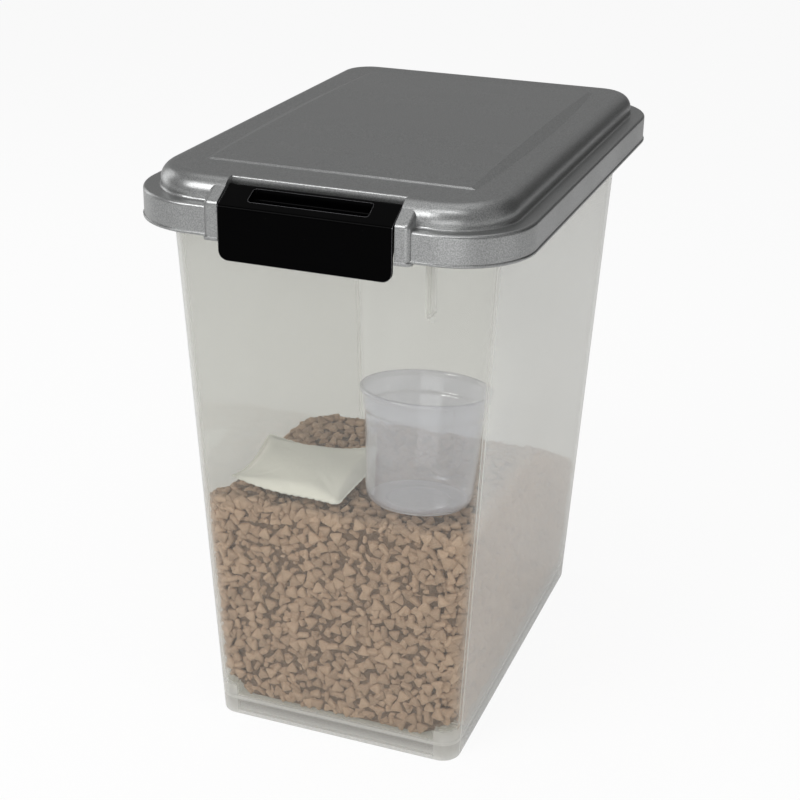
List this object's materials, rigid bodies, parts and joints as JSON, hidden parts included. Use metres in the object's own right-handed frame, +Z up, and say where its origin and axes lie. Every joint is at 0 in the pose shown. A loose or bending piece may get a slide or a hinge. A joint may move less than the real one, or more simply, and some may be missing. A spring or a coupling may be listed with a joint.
{
  "type": "pet food storage container",
  "caption": "Tapered translucent bin with a back-hinged stepped lid, a flap latch at the front, dry pet food inside, a measuring cup and a desiccant sachet.",
  "frame": {"origin": "middle of the footprint, on the surface the container stands on", "axes": "+Z up, the latch faces -Y, the lid's hinge line is at +Y, +X to the right seen from the front"},
  "size_m": [0.292, 0.439, 0.4669],
  "materials": {
    "bin_plastic": "frosted translucent",
    "lid_plastic": "satin, silver grey with a fine metallic fleck",
    "latch_plastic": "gloss black",
    "seal_rubber": "soft",
    "pin_steel": "plain",
    "kibble_food": "dry food pieces",
    "cup_plastic": "clear, lightly grey",
    "sachet_paper": "breathable paper"
  },
  "bodies": {
    "tub": {"bin": "bin_plastic", "kibble": "kibble_food", "hinge_pins": "pin_steel"},
    "lid": {"lid": "lid_plastic", "lid_seal": "seal_rubber", "latch_pin": "pin_steel"},
    "latch": {"latch": "latch_plastic"},
    "cup": {"measuring_cup": "cup_plastic"},
    "sachet": {"desiccant_sachet": "sachet_paper"}
  },
  "joints": [
    {"name": "lid_hinge", "type": "hinge", "parent": "tub", "child": "lid", "pos_m": [0, 0.215, 0.4195], "axis": [-1, 0, 0], "range_deg": [0, 105]},
    {"name": "latch_hinge", "type": "hinge", "parent": "lid", "child": "latch", "pos_m": [0, -0.1986, 0.456], "axis": [-1, 0, 0], "range_deg": [0, 100]},
    {"name": "cup_lift", "type": "slide", "parent": "tub", "child": "cup", "axis": [0, 0, 1], "range_m": [0, 0.12]},
    {"name": "sachet_lift", "type": "slide", "parent": "tub", "child": "sachet", "axis": [0, 0, 1], "range_m": [0, 0.18]}
  ]
}
